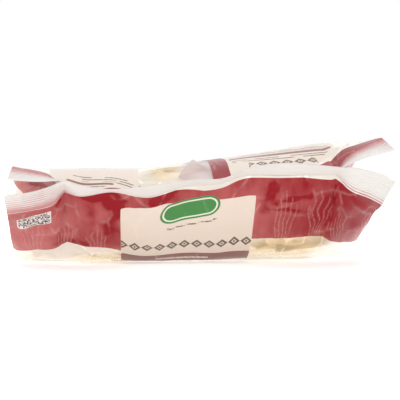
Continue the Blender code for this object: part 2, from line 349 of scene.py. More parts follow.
def raiseSeam(ring, columns):
    foot = ring[columns[len(columns) // 2]].copy()
    fromEnd = min(foot[1], bag["bodyEnd"] - foot[1])
    whole = smoothStep(fromEnd, *bag["seamRise"])
    lean = np.radians(readRow(bag["seamLeans"], fromEnd)[0])
    width = readRow(bag["seamWidths"], fromEnd)[0]
    out = width * np.array([-np.cos(lean), 0, np.sin(lean)])
    over = bag["seamThickness"] / 2 * np.array([np.sin(lean), 0, np.cos(lean)])
    for i, share in zip(columns, np.linspace(1, -1, len(columns))):
        offset = (1 - abs(share)) * out + np.sign(share) * over
        ring[i] = ring[i] * (1 - whole) + (foot + offset) * whole


def skinRings():
    near, nearReach = endRings("near")
    far, farReach = endRings("far")
    for ring in far:
        ring[:, 1] = bag["bodyEnd"] - ring[:, 1]
    loop = filmLoop()
    middle = []
    for share in np.linspace(0, 1, bag["bodyRings"] + 1):
        along = nearReach + (bag["bodyEnd"] - farReach - nearReach) * share
        middle.append(np.array([bodyPoint(panel, u, y) for (panel, u), y in zip(loop, along)]))
    rings = near + middle + far[::-1]
    columns = seamColumns()
    for ring in rings[bag["finRings"] : -bag["finRings"]]:
        raiseSeam(ring, columns)
    return np.array(rings)


def capFaces(first):
    # closes a seal's free edge between its two sides
    tail, gusset = bag["tailSteps"], 2 * bag["tailSteps"]
    right = len(acrossPanel()) - 1
    back, left, total = right + gusset, 2 * right + gusset, 2 * right + 2 * gusset
    strips = [[(i, left - i) for i in range(tail, right - tail + 1)]]
    for crease in (right, back, left, total):
        strips.append([(crease - k, crease + k) for k in range(tail + 1)])
    faces = [[a, b, d, c] for strip in strips for (a, b), (c, d) in zip(strip, strip[1:])]
    faces.append([right - tail, right + tail, back + tail])
    faces.append([left - tail, left + tail, tail])
    return [[first + i for i in dict.fromkeys(i % total for i in face)] for face in faces]


# The film's own shape: slack, pleats that start in the seals, and creases, in mm
slack = {
    # size, height and place in the noise
    "lump": (27.0, 0.8, 3.1),  # soft swells over the contents
    "press": (8.0, 0.22, 7.7),  # ribbons that press through the film
    "pleat": (7.0, 0.9, 12.4),  # beside a seal
    "pleatStretch": (1, 0.16, 0.25),
    # from a seal: where they start and are whole, and where the pleats are gone
    "lumpEnds": (10.0, 40.0),
    "pressEnds": (30.0, 60.0),
    "pleatEnds": (5.0, 14.0, 46.0),
    # the back panel is pulled flatter: its pleats' share, and how much further on its swells start
    "backPleats": 0.15,
    "backLater": 30.0,
    "lastFree": 3.0,  # the film is stiff this near to a seal
    # folds of the front panel: from and to (across, along), height and half width
    "creaseScale": 1.5,  # of their heights
    "creases": [
        ((-67, 0), (-74, 30), -1.6, 2.6), ((-60, 1), (-58, 44), 0.9, 5.0), ((-88, 26), (-62, 12), 0.7, 2.2),
        ((-84, 34), (-56, 26), 0.7, 2.4), ((-52, 2), (-37, 20), -0.9, 3.4), ((-30, 1), (-40, 16), 1.0, 2.8),
        ((-24, 0), (-12, 12), 1.0, 2.6), ((-20, 2), (6, 8), -0.8, 3.0), ((14, 0), (24, 15), -0.8, 3.0),
        ((30, 20), (52, 14), -0.7, 1.6), ((32, 6), (40, 26), -0.7, 2.4), ((44, 22), (56, 10), 0.6, 1.6),
        ((66, 0), (74, 26), -1.8, 2.6), ((78, 4), (92, 22), -0.9, 2.2), ((60, 2), (62, 40), 0.8, 4.0),
        ((72, 16), (88, 40), 0.7, 3.0), ((10, 30), (24, 44), 0.4, 3.0), ((-34, 30), (-20, 46), 0.4, 3.0),
    ],
    "sideCreases": 46,  # shorter ones, spread by chance over the rest of the skin
    "sideCreaseSize": (14.0, 1.5, 0.55),  # length, half width and height
    "sideCreaseLengths": (0.6, 1.4),
    "sideCreaseEnds": (50.0, 30.0),  # they keep this far from the near and the far seal
    "seed": 4,
}


def filmDistances(rings):
    # how far each point lies from the near and the far seal's root, along the film
    steps = np.linalg.norm(np.diff(rings, axis=0), axis=2)
    run = np.concatenate([np.zeros((1, rings.shape[1])), np.cumsum(steps, axis=0)])
    fin = bag["finRings"]
    return run - run[fin], run[-fin - 1] - run


def gridNormals(rings):
    around = np.roll(rings, -1, axis=1) - np.roll(rings, 1, axis=1)
    along = np.gradient(rings, axis=0)
    normals = np.cross(around, along)
    return normals / np.maximum(np.linalg.norm(normals, axis=2), 1e-9)[:, :, None]


def noiseField(points, size, seed):
    flat = points.reshape(-1, 3) / size + seed
    values = [noise.noise(Vector(p)) for p in flat.tolist()]
    return np.array(values).reshape(points.shape[:-1])


def foldAlong(u, s, start, end, height, width):
    # a ridge or a groove between two places, fading towards its ends
    start, way = np.array(start, float), np.subtract(end, start)
    length = np.hypot(*way)
    way = way / length
    du, ds = u - start[0], s - start[1]
    share = (du * way[0] + ds * way[1]) / length
    aside = (du * way[1] - ds * way[0]) / (width * (0.6 + 0.8 * np.clip(share, 0, 1)))
    taper = smoothStep(share, -0.1, 0.2) * (1 - smoothStep(share, 0.55, 1.1))
    return height * taper * np.exp(-np.abs(aside) ** 1.5)


def slackenFilm(rings):
    fromNear, fromFar = filmDistances(rings)
    fromSeal = np.minimum(fromNear, fromFar)
    normals = gridNormals(rings)
    free = smoothStep(fromSeal, slack["lastFree"], 4 * slack["lastFree"])
    kinds = np.array([panelKinds.index(panel) for panel, _ in filmLoop()])
    isBack = kinds == panelKinds.index("back")
    size, height, seed = slack["lump"]
    start = slack["backLater"] * isBack
    shift = height * noiseField(rings, size, seed) * smoothStep(fromSeal - start, *slack["lumpEnds"])
    size, height, seed = slack["press"]
    pressed = 0.5 - np.abs(noiseField(rings, size, seed))
    shift += height * pressed * smoothStep(fromSeal, *slack["pressEnds"])
    size, height, seed = slack["pleat"]
    start, whole, end = slack["pleatEnds"]
    pleats = smoothStep(fromSeal, start, whole) * (1 - smoothStep(fromSeal, whole, end))
    pleats *= np.where(isBack, slack["backPleats"], 1.0)
    shift += height * noiseField(rings * np.array(slack["pleatStretch"]), size, seed) * pleats
    shift *= free
    across = np.array([u for _, u in filmLoop()])
    isFront = kinds == panelKinds.index("front")
    for start, end, height, width in slack["creases"]:
        height *= slack["creaseScale"]
        shift += isFront * foldAlong(across, fromNear, start, end, height, width) * free
    random = np.random.default_rng(slack["seed"])
    length, width, height = slack["sideCreaseSize"]
    first, last = slack["sideCreaseEnds"]
    last = fromNear[-1].max() - last
    for _ in range(slack["sideCreases"]):
        kind = random.integers(0, 4)
        limit = across[kinds == kind]
        start = np.array([random.uniform(limit.min(), limit.max()), random.uniform(first, last)])
        turn = random.uniform(0, np.pi)
        reach = random.uniform(*slack["sideCreaseLengths"]) * length
        end = start + reach * np.array([np.cos(turn), np.sin(turn)])
        size = random.uniform(-1, 1) * height
        shift += (kinds == kind) * foldAlong(across, fromNear, start, end, size, width) * free
    columns = seamColumns()
    shift[:, columns] = shift[:, [columns[0] - 1]]
    moved = rings + normals * shift[:, :, None]
    moved[:, :, 2] = np.maximum(moved[:, :, 2], 0)
    return moved


def linear(hexColour):
    # sRGB hex to linear RGBA
    parts = [int(hexColour[i : i + 2], 16) / 255 for i in (1, 3, 5)]
    return [c / 12.92 if c <= 0.04045 else ((c + 0.055) / 1.055) ** 2.4 for c in parts] + [1.0]


def addNode(tree, kind, feeds, output=0, **settings):
    # adds a node: an operation may follow its kind, feeds are sockets or plain values for its inputs, in
    # their order or by name, and settings are its properties
    kind, _, operation = kind.partition(" ")
    if operation:
        settings["operation"] = operation
    node = tree.nodes.new("ShaderNode" + kind)
    for name, value in settings.items():
        setattr(node, name, value)
    for name, value in feeds.items() if isinstance(feeds, dict) else enumerate(feeds):
        if isinstance(value, bpy.types.NodeSocket):
            tree.links.new(value, node.inputs[name])
        else:
            node.inputs[name].default_value = value
    return node.outputs[output]


def newMaterial(name, plain):
    # a material with plain values on its shader, the shader's sockets, and addNode for its tree
    material = bpy.data.materials.new(name)
    material.use_nodes = True
    sockets = material.node_tree.nodes["Principled BSDF"].inputs
    for socket, value in plain.items():
        sockets[socket].default_value = value
    return material, sockets, functools.partial(addNode, material.node_tree)


def addObject(name, data):
    added = bpy.data.objects.new(name, data)
    bpy.context.scene.collection.objects.link(added)
    return added


def shadeMesh(mesh, sharpAngle, material):
    mesh.shade_smooth()
    mesh.set_sharp_from_angle(angle=math.radians(sharpAngle))
    mesh.materials.append(material)


def makeFilm():
    rings = slackenFilm(skinRings())
    loop = filmLoop()
    count, spans = len(loop), len(rings) - 1
    index = np.arange(len(rings) * count).reshape(len(rings), count)
    following = np.roll(index, -1, axis=1)
    grid = np.stack([index[:-1], index[1:], following[1:], following[:-1]], axis=-1).reshape(-1, 4)
    faces = grid.tolist() + capFaces(0) + capFaces(spans * count)
    points = rings.reshape(-1, 3).copy()
    centre = (points[:, :2].min(axis=0) + points[:, :2].max(axis=0)) / 2
    points[:, :2] -= centre
    mesh = bpy.data.meshes.new("filmBag")
    mesh.from_pydata((points * mm).tolist(), [], faces)
    shape = bmesh.new()
    shape.from_mesh(mesh)
    bmesh.ops.recalc_face_normals(shape, faces=shape.faces)
    shape.to_mesh(mesh)
    shape.free()

    # each face corner's place on the flat film
    kinds = np.array([panelKinds.index(panel) for panel, _ in loop])
    ends = {"front": bag["panelWidth"] / 2, "back": -bag["panelWidth"] / 2}
    first = np.array([u for _, u in loop])
    second = np.roll(first, -1)
    for i in np.flatnonzero(kinds != np.roll(kinds, -1)):
        second[i] = ends.get(loop[i][0], 2 * bag["gussetDepth"])
    fromNear, fromFar = filmDistances(rings)
    vertices = np.zeros(len(mesh.loops), int)
    mesh.loops.foreach_get("vertex_index", vertices)
    vertices = vertices[: grid.size]
    column = np.repeat(np.tile(np.arange(count), spans), 4)
    corners = {
        "kind": kinds[column],
        "across": np.where(vertices % count == column, first[column], second[column]),
        "near": fromNear.ravel()[vertices],
        "far": fromFar.ravel()[vertices],
        "at": rings.reshape(-1, 3)[vertices],
    }
    place = np.zeros((len(mesh.loops), 2), np.float32)
    place[:, 1] = -bag["finWidth"]
    place[: grid.size, 0] = corners["across"]
    place[: grid.size, 1] = corners["near"]
    mesh.uv_layers.new(name="filmPlace").data.foreach_set("uv", place.ravel())
    shapes = printShapes(corners)
    for name, values in shapes.items():
        filled = np.full(len(mesh.loops), values[0], np.float32)
        filled[: grid.size] = values
        mesh.attributes.new(name, "FLOAT", "CORNER").data.foreach_set("value", filled)
    shadeMesh(mesh, bag["sharpAngle"], filmMaterial(shapes))

    # the skin round the contents, without the seals and the seam's fin
    skin = rings.copy()
    columns = seamColumns()
    before, after = rings[:, columns[0] - 1], rings[:, columns[-1] + 1]
    for k, column in enumerate(columns, start=1):
        share = k / (len(columns) + 1)
        skin[:, column] = before * (1 - share) + after * share
    skin = skin.reshape(-1, 3) - [*centre, 0]
    fin = bag["finRings"]
    around = BVHTree.FromPolygons(skin.tolist(), grid[fin * count : -fin * count].tolist())
    return addObject("filmBag", mesh), centre, around


outside = -9.0  # mm, on a panel that hasn't the shape

# Print on the film, in mm across a panel and from the near seal, for the far one's shapes from the far seal.
# Blocks are given by two corners and a corner's radius, and spots by middle, half sizes and share.
printed = {
    "frontEdge": [
        (-95, 48), (-88, 47.3), (-79, 46.3), (-69.5, 41.5), (-61, 38.8), (-51, 40.3), (-40, 43.4),
        (-5, 44), (28, 41.8), (48, 43), (58, 42.3), (66, 46), (76, 51.5), (85, 60), (95, 68),
    ],
    "backEdge": [
        (-95, 10), (-76, 7), (-31, 12), (-25, 10), (-16, 3), (-4, 2), (15, 8), (58, 8), (64, 13), (95, 13.5),
    ],
    # where the red starts on the front: clear margin beside the seal
    "frontMargin": [
        (-95, 0), (-30, 0.1), (-12, 0.5), (2, 3.4), (12, 2.6), (24, 1.2), (50, 1.0), (64, 3.2), (71, 0.8),
        (95, 0),
    ],
    "sideEdge": {"right": (66, 48, 5), "left": (40, 48, 5)},  # at each gusset's start and end, and its dip
    "farEdge": (44.0, 3.5, 50.0),  # depth of the far end's red, and the height and length of its waves
    "seamStripe": (11.0, 4.5),  # middle and half width
    "labelTop": [(-40, 11.5), (-29, 7), (-19.5, 7.3), (-9, 9.7), (10, 10), (20, 12), (29, 12.1)],
    "label": (-38.9, 28.2),
    "labelSlant": 0.1,  # of the label's lower edge, its strip and its row of marks
    "strip": (46.0, 57.5),
    "headline": (33.6, 40.4),
    "farLabel": ((-32, 14), (32, 36), 2.5),
    "backBlocks": [((-76, 5), (-30, 112), 2.0), ((15.5, 3), (73, 128), 2.0)],
    "farBlocks": [((-66, 12), (-12, 40), 2.0), ((22, 12), (74, 40), 2.0)],
    "badge": (-4.5, 14.2, 15.0, 6.6, -9.0),  # middle, half sizes, tilt
    "slogan": (3.7, 0.65, 13.0),  # below the badge: how far, half height, half length
    "backRules": [((-66, 19.5), (-42, 9.5), 1.4), ((17, 32.0), (71, 31.0), 2.3)],
    "backCorner": ((59, 11), (72.5, 28)),  # the right block's near corner is cut off along this line
    "backMarks": (26.0, 60.0, 19.4),  # start and end across, and how far from the seal
    "textMargins": (2.5, 1.6),  # from small print to a block's edge and to a rule
    "askewEnds": (38.0, 56.0),  # between these the left block's lines come straight
    "blankCorner": (-64.0, 40.0),  # no small print to the left of this, up to here
    "blankLeft": [(-99.0, 8.0), (31.0, 58.0)],  # nor in these rows
    "blankRight": [(-99.0, 20.4), (44.0, 64.0)],
    "haze": (0.8, 0.68, 0.25),  # beside the near seal, its loss further on, and its gain at the far seal
    "hazeEnds": ((50.0, 90.0), (45.0, 70.0)),  # where it is lost, and from the far seal where it is gained
    "hazeLonger": 9.0,  # on the front panel
    # spots where the clear film lies on the pasta, and the share of haze that is gone there; less haze also
    # brings the painted tint of lit pasta
    "contactEdge": (0.5, 1.2),
    "contacts": {
        "front": [(48, 52, 34, 12, 0.36), (-43, 56, 20, 9, 0.4), (85, 68, 22, 24, -0.7)],
        "back": [(-14, 20, 18, 26, 0.12), (-17, 36, 8, 18, 0.2)],
    },
    "codePanel": (-83.0, 13.9, 8.1, 6.3, 0.3, -0.4),  # middle, half sizes, corner radius, slant
    # across the panel, and how far red ink is left between a seal's ribs; on the back the same left and right
    "frontInk": [(-74, 17), (-58, 3), (60, 3), (74, 4.2)],
    "backInk": [(60, 3), (74, 15)],
    "sideInk": 3.0,
    # the painted reflection, a pale sheen over the red: its strength on each panel, its patches (size,
    # height, place in the noise), and what the front has more at the left, less at the right and less beside
    # the seal
    "paintedReflection": {"front": 0.56, "right": 0.26, "back": 0.01, "left": 0.76},
    "reflectionPatches": (22.0, 0.34, 5.2),
    "reflectionFront": (0.36, 0.4, 0.2),
    # painted shade in folds, the red left deep without painted reflection: middle, half sizes, tilt, share
    "foldEdge": (0.35, 1.4),
    "foldRag": (5.0, 0.55, 9.3),
    "paintedShadeFolds": {
        "front": [
            (-42, 6.5, 6.5, 5.5, 0, 1.1), (-40, 13, 3.4, 7.0, 15, 0.8), (-50, 2, 7, 3, 14, 0.7),
            (-19, 3.5, 6.5, 3.4, -20, 0.8), (-70, 2, 1.2, 3.4, 30, 0.9), (36, 11, 3.2, 6, 0, 0.7),
            (47, 14.5, 8, 1.3, -8, 0.7), (43, 21.5, 10, 1.2, 10, 0.7), (33, 20, 2.4, 7, 10, 0.6),
            (55, 13, 1.2, 3, 0, 0.6), (70, 5, 1.6, 4.2, 35, 1.0), (82, 5.4, 6.5, 1.5, 12, 0.9),
            (-33, 20, 6, 2.5, 0, 0.3), (-57, 30, 5, 12, 10, 0.3), (-52, 12, 2.5, 8, 0, 0.35),
            (80, 34, 11, 20, 0, 0.35), (-40, 34, 8, 9, 0, 0.3), (-44, 24, 5, 7, 0, 0.5),
            (-65, 40, 8, 4, -10, 0.8), (-70, 32, 4, 6, 20, 0.4), (66, 24, 5, 12, 10, 0.35),
            (90, 24, 5, 12, 0, 0.4),
        ],
        "left": [(19.7, 21.5, 7.5, 2.0, -56, 1.6)],
    },
}


def blockShape(u, s, low, high, radius):
    # mm inside a rounded rectangle, less than 0 outside it
    middle = (np.array(low, float) + high) / 2
    half = (np.array(high, float) - low) / 2 - radius
    dx, dy = np.abs(u - middle[0]) - half[0], np.abs(s - middle[1]) - half[1]
    return radius - np.hypot(np.maximum(dx, 0), np.maximum(dy, 0)) - np.minimum(np.maximum(dx, dy), 0)


def turned(u, s, x, y, tilt):
    # places on the film as seen from a middle, along axes turned by a tilt in degrees
    turn = np.radians(tilt)
    du, ds = u - x, s - y
    return du * np.cos(turn) + ds * np.sin(turn), ds * np.cos(turn) - du * np.sin(turn)


def lineAt(name, across):
    return readRow(printed[name], across)[0]


def redShape(on, u, near, far):
    # the near end's red goes all round the bag, the far end's too, and a stripe runs beside the back seam
    middle, half = printed["seamStripe"]
    front = np.minimum(lineAt("frontEdge", u) - near, near - lineAt("frontMargin", u))
    back = np.maximum(lineAt("backEdge", u) - near, half - np.abs(u - middle))
    red = np.select([on["front"], on["back"]], [front, back])
    share = u / (2 * bag["gussetDepth"])
    for name, (start, end, dip) in printed["sideEdge"].items():
        edge = start + (end - start) * share - dip * np.sin(np.pi * share)
        red = np.where(on[name], edge - near, red)
    depth, height, length = printed["farEdge"]
    return np.maximum(red, depth + height * np.cos(2 * np.pi * u / length) - far)


def labelShapes(u, near, far, slant):
    left, right = printed["label"]
    start, end = printed["strip"]
    sides = np.minimum(u - left, right - u)
    toEnd = end + slant - near
    label = np.minimum(sides, np.minimum(near - lineAt("labelTop", u), toEnd))
    strip = np.minimum(sides, np.minimum(near - start - slant, toEnd))
    return np.maximum(label, blockShape(u, far, *printed["farLabel"])), strip


def badgeShapes(u, near):
    # the badge, and the slogan that follows its lower edge
    x, y, halfX, halfY, tilt = printed["badge"]
    across, along = turned(u, near, x, y, tilt)
    badge = blockShape(across, along, (-halfX, -halfY), (halfX, halfY), halfY)
    below, halfHigh, halfWide = printed["slogan"]
    slogan = np.minimum(halfHigh - np.abs(badge + below), along)
    return badge, np.minimum(slogan, halfWide - np.abs(across))


def backShapes(u, near, far):
    # the back's blocks, the rules over them, the small print in them and its rows
    blocks = [blockShape(u, near, *block) for block in printed["backBlocks"]]
    (x, y), (endX, endY) = printed["backCorner"]
    cut = ((near - y) * (endX - x) - (u - x) * (endY - y)) / math.hypot(endX - x, endY - y)
    blocks[1] = np.minimum(blocks[1], cut)
    blocks += [blockShape(u, far, *block) for block in printed["farBlocks"]]
    blocks = np.max(blocks, axis=0)
    rules = outside
    for (x, y), (endX, endY), halfWide in printed["backRules"]:
        rule = halfWide - np.abs(near - y - (u - x) * (endY - y) / (endX - x))
        rules = np.maximum(rules, np.minimum(rule, np.minimum(u - x, endX - u)))
    toEdge, toRule = printed["textMargins"]
    text = np.minimum(blocks - toEdge, -toRule - rules)
    # near the seal the left block is drawn askew, as its rule is
    (x, y), (endX, endY), _ = printed["backRules"][0]
    askew = (u < 0) * (1 - smoothStep(near, *printed["askewEnds"])) * (endY - y) / (endX - x)
    row = near - (u - x) * askew
    edge, reach = printed["blankCorner"]
    blank = (u < edge) & (near < reach)
    for side, rows in ((u < 0, printed["blankLeft"]), (u >= 0, printed["blankRight"])):
        for start, end in rows:
            blank = blank | (side & (row > start) & (row < end))
    return blocks, rules, np.where(blank, outside, text), row


def hazeShape(on, u, near, far):
    haze, further, last = printed["haze"]
    start, end = printed["hazeEnds"]
    haze = haze - further * smoothStep(near - printed["hazeLonger"] * on["front"], *start)
    haze += last * (1 - smoothStep(far, *end))
    for name, spots in printed["contacts"].items():
        for x, y, wide, high, share in spots:
            away = np.hypot((u - x) / wide, (near - y) / high)
            haze -= share * on[name] * (1 - smoothStep(away, *printed["contactEdge"]))
    return haze


def paintedReflectionShape(on, u, near, at):
    # painted reflection over the red, by panel and in patches, and painted shade where folds take it away
    size, height, seed = printed["reflectionPatches"]
    paintedReflection = height * noiseField(at, size, seed)
    for name, share in printed["paintedReflection"].items():
        paintedReflection += share * on[name]
    left, right, beside = printed["reflectionFront"]
    paintedReflection += left * on["front"] * smoothStep(-u, 50, 80) * smoothStep(near, 6, 24)
    paintedReflection -= on["front"] * (right * smoothStep(u, 25, 70) + beside * (1 - smoothStep(near, 4, 18)))
    # painted shade: in folds the painted reflection is taken away and the red is left deep
    size, height, seed = printed["foldRag"]
    ragged = height * noiseField(at, size, seed)
    for name, folds in printed["paintedShadeFolds"].items():
        for x, y, wide, high, tilt, depth in folds:
            across, along = turned(u, near, x, y, tilt)
            away = np.hypot(across / wide, along / high) + ragged
            paintedReflection -= depth * on[name] * (1 - smoothStep(away, *printed["foldEdge"]))
    return paintedReflection


def printShapes(corners):
    # for each face corner: mm inside every printed shape, less than 0 outside it, the haze, and the painted
    # reflection over the red with painted shade in its folds
    kind, u, near, far, at = (corners[name] for name in ("kind", "across", "near", "far", "at"))
    on = {name: kind == i for i, name in enumerate(panelKinds)}
    front, back = on["front"], on["back"]
    slant = printed["labelSlant"] * (u - printed["label"][0])
    label, strip = labelShapes(u, near, far, slant)
    badge, slogan = badgeShapes(u, near)
    x, y, halfX, halfY, radius, shear = printed["codePanel"]
    code = blockShape(u - x, near - y - shear * (u - x), (-halfX, -halfY), (halfX, halfY), radius)
    blocks, rules, text, row = backShapes(u, near, far)
    start, end, top = printed["backMarks"]
    marks = np.where(back & (u > start) & (u < end), top - near, outside)
    inks = [lineAt("frontInk", u), lineAt("backInk", np.abs(u))]
    shapes = {
        "fromSeal": np.minimum(near, far),
        "redPrint": redShape(on, u, near, far),
        "beigePrint": np.select([front, back], [label, blocks], outside),
        "textRow": row,
        "headline": np.where(front, printed["headline"][1] + slant - near, marks),
        "sealInk": np.select([front, back], inks, printed["sideInk"]),
        "paintedReflection": paintedReflectionShape(on, u, near, at),
        "haze": hazeShape(on, u, near, far),
    }
    onePanel = {
        "front": {"strip": strip, "slogan": slogan, "badge": badge, "codePanel": code},
        "back": {"rules": rules, "textPrint": text, "seam": bag["seamFoot"] - np.abs(u - bag["seamAcross"])},
    }
    for panel, group in onePanel.items():
        for name, shape in group.items():
            shapes[name] = np.where(on[panel], shape, outside)
    return shapes


# Printed polypropylene film: clear, glossy and slightly hazy, printed on its inner side, so the ink looks
# smooth and deep. The pale sheen over the red is painted reflection and its deep folds painted shade, both in
# the base colour.
# The crimped seals turn white where they are pressed. Sizes are in mm.
filmLook = {
    "deepRed": "#890d19",
    # the red under painted reflection; the seam's pink tint uses it too
    "paleRed": "#b76664",
    "paleLine": "#c89d98",
    "beige": "#d9cbbe",
    "brown": "#885d57",
    "text": "#6c5c53",
    "green": "#468347",
    "cream": "#dcd6cc",
    "white": "#d7d1cc",
    "dark": "#4a4340",
    "clear": "#f3ede4",
    # painted light: colour of brightly lit pasta, taken by the film where its haze is thin
    "litPastaTint": "#fbe4b2",
    "crimp": "#dbd8d4",
    "crimpInk": "#b5585a",
    "seam": "#dcd1cd",
    # colour of the painted highlights along creases
    "sheen": "#efe9e5",
    "seamOpacity": 0.68,
    "printOpacity": 0.985,
    "crimpOpacity": 0.86,
    "hazeSize": 16.0,
    "hazeChange": 0.5,
    # pale lines of painted highlight along creases in the film, which also make it hazier
    "crinkleSize": 14.0,
    "crinkleLine": 1.0,
    "crinkleBend": (20.0, 5.0),  # size and height of the waves in the crinkles
    "crinkleSheen": 0.11,
    "crinkleHaze": 0.4,
    "edgeWidth": 0.12,  # over which ink ends
    "roughness": 0.26,
    "ior": 1.49,  # of polypropylene
    "specular": 0.16,
    "streakSize": 8.0,
    "streakStretch": (1, 0.35, 1),
    "textPitch": 3.2,
    "strokeSize": 1.3,
    "wordSize": 9.0,
    "letterSize": 0.8,
    "checkSize": 0.65,
    "tuftSpacing": 18.0,
    "tuftRoot": 64.0,  # from a seal to where the blades of a tuft meet
    "tuftReach": (42.0, 16.0, -12.0),  # of the shortest, more by chance, and less away from a tuft's middle
    "tuftSpread": 0.15,
    "bladeBend": (14.0, 7.0),  # size and height of the waves in the blades
    "bladeGrain": 1.6,
    "markPitch": 6.4,
    "markWidth": 3.0,
    "badgeRim": (1.6, 0.45),  # from the badge's edge to the rim's middle, and half its width
    "subtitle": (-7.0, 14.0, 4.5),  # middle, half width, and how far in the strip it starts
}
filmInks = {name: linear(value) for name, value in filmLook.items() if isinstance(value, str)}


def redInk(put, place, shapes):
    # deep red ink under a pale sheen of painted reflection, with tufts of fine pale blades printed in it
    look = filmLook
    # painted reflection: noise streaks and the painted reflection shape lift the deep red towards pale red
    drawn = put("VectorMath MULTIPLY", [place, look["streakStretch"]])
    streaks = {"Vector": drawn, "Scale": 1 / look["streakSize"], "Detail": 4.0, "Roughness": 0.6}
    streaks = put("TexNoise", streaks)
    paintedReflection = put("Math ADD", [streaks, shapes["paintedReflection"]])
    paintedReflection = put("Math SUBTRACT", [paintedReflection, 0.5], use_clamp=True)
    red = put("Mix", {0: paintedReflection, 6: filmInks["deepRed"], 7: filmInks["paleRed"]}, 2, data_type="RGBA")

    size, height = look["bladeBend"]
    bent = put("TexNoise", {"Vector": place, "Scale": 1 / size, "Detail": 1.0}, 1)
    bent = put("VectorMath MULTIPLY_ADD", [bent, (height, height, 0), place])
    across = put("SeparateXYZ", [bent])
    cell = put("Math DIVIDE", [across, look["tuftSpacing"]])
    number = put("Math FLOOR", [cell])
    chance = put("TexWhiteNoise", {"W": number}, noise_dimensions="1D")
    aside = put("Math SUBTRACT", [cell, number])
    aside = put("Math MULTIPLY_ADD", [chance, -0.3, aside])
    aside = put("Math MULTIPLY_ADD", [aside, look["tuftSpacing"], -0.35 * look["tuftSpacing"]])
    height = put("Math SUBTRACT", [look["tuftRoot"], shapes["fromSeal"]])
    spread = put("Math MULTIPLY_ADD", [height, look["tuftSpread"], 0.8])
    spread = put("Math MAXIMUM", [spread, 0.5])
    fan = put("Math DIVIDE", [aside, spread])
    blade = put("Math PINGPONG", [fan, 0.2])
    blade = put("Math MULTIPLY", [blade, spread])
    line = put("MapRange", [blade, 0.05, 0.6, 1.0, 0.0])
    fan = put("Math ABSOLUTE", [fan])
    shortest, byChance, outwards = look["tuftReach"]
    reach = put("Math MULTIPLY_ADD", [chance, byChance, shortest])
    reach = put("Math MULTIPLY_ADD", [fan, outwards, reach])
    reach = put("Math SUBTRACT", [reach, height])
    grain = put("TexNoise", {"Vector": place, "Scale": 1 / look["bladeGrain"], "Detail": 2.0})
    for part in (
        put("MapRange", [fan, 0.92, 1.0, 1.0, 0.0]),
        put("MapRange", [reach, 0.0, 2.0]),
        put("MapRange", [grain, 0.35, 0.62, 0.1, 0.38]),
    ):
        line = put("Math MULTIPLY", [line, part])
    return put("Mix", {0: line, 6: red, 7: filmInks["paleLine"]}, 2, data_type="RGBA"), streaks


def smallPrint(put, u, shapes):
    # greeked lines: strokes and gaps along every line, and no letters
    row = put("Math DIVIDE", [shapes["textRow"], filmLook["textPitch"]])
    height = put("Math PINGPONG", [row, 0.5])
    line = put("MapRange", [height, 0.14, 0.24, 1.0, 0.0])
    number = put("Math ROUND", [row])
    number = put("Math MULTIPLY", [number, 37.7])  # no two lines read the same noise
    seat = put("CombineXYZ", [u, number])
    for size, detail, change in (
        ("strokeSize", 1.0, (0.28, 0.4, 0.35)),
        ("wordSize", 0.0, (0.32, 0.38)),
    ):
        part = {"Vector": seat, "Scale": 1 / filmLook[size], "Detail": detail}
        part = put("TexNoise", part, noise_dimensions="2D")
        line = put("Math MULTIPLY", [line, put("MapRange", [part, *change])])
    return line


def headlineMarks(put, u, shapes):
    # a row of open lozenges, each round a dot
    half = (printed["headline"][1] - printed["headline"][0]) / 2
    wide = filmLook["markWidth"]
    side = put("Math PINGPONG", [u, filmLook["markPitch"] / 2])
    rise = put("Math SUBTRACT", [shapes["headline"], half])
    rise = put("Math ABSOLUTE", [rise])
    rise = put("Math MULTIPLY_ADD", [rise, wide / half, side])
    frame = put("Math SUBTRACT", [rise, 0.76 * wide])
    frame = put("Math ABSOLUTE", [frame])
    nearest = put("Math MINIMUM", [frame, rise])
    return put("MapRange", [nearest, 0.24 * wide, 0.3 * wide, 1.0, 0.0])


def randomChecks(put, place, shapes):
    cell = put("VectorMath SCALE", {0: place, "Scale": 1 / filmLook["checkSize"]})
    cell = put("VectorMath FLOOR", [cell])
    dark = put("TexWhiteNoise", {"Vector": cell}, noise_dimensions="2D")
    dark = put("MapRange", [dark, 0.5, 0.52])
    inner = put("MapRange", [shapes["codePanel"], 0.5, 0.6])
    return put("Math MULTIPLY", [dark, inner])


def crinkleHighlights(put, place):
    # painted highlights: thin pale lines along creases in the film, edges of facets, here and there
    size, height = filmLook["crinkleBend"]
    drawn = put("VectorMath MULTIPLY", [place, (1, 0.6, 1)])
    bent = put("TexNoise", {"Vector": place, "Scale": 1 / size}, 1)
    drawn = put("VectorMath MULTIPLY_ADD", [bent, (height, height, 0), drawn])
    size = filmLook["crinkleSize"]
    settings = {"feature": "DISTANCE_TO_EDGE", "voronoi_dimensions": "2D"}
    crease = put("TexVoronoi", {"Vector": drawn, "Scale": 1 / size}, **settings)
    crease = put("MapRange", [crease, 0.0, filmLook["crinkleLine"] / size, 1.0, 0.0])
    patches = put("TexNoise", {"Vector": place, "Scale": 1 / size, "Detail": 2.0})
    patches = put("MapRange", [patches, 0.48, 0.6])
    return put("Math MULTIPLY", [crease, patches])


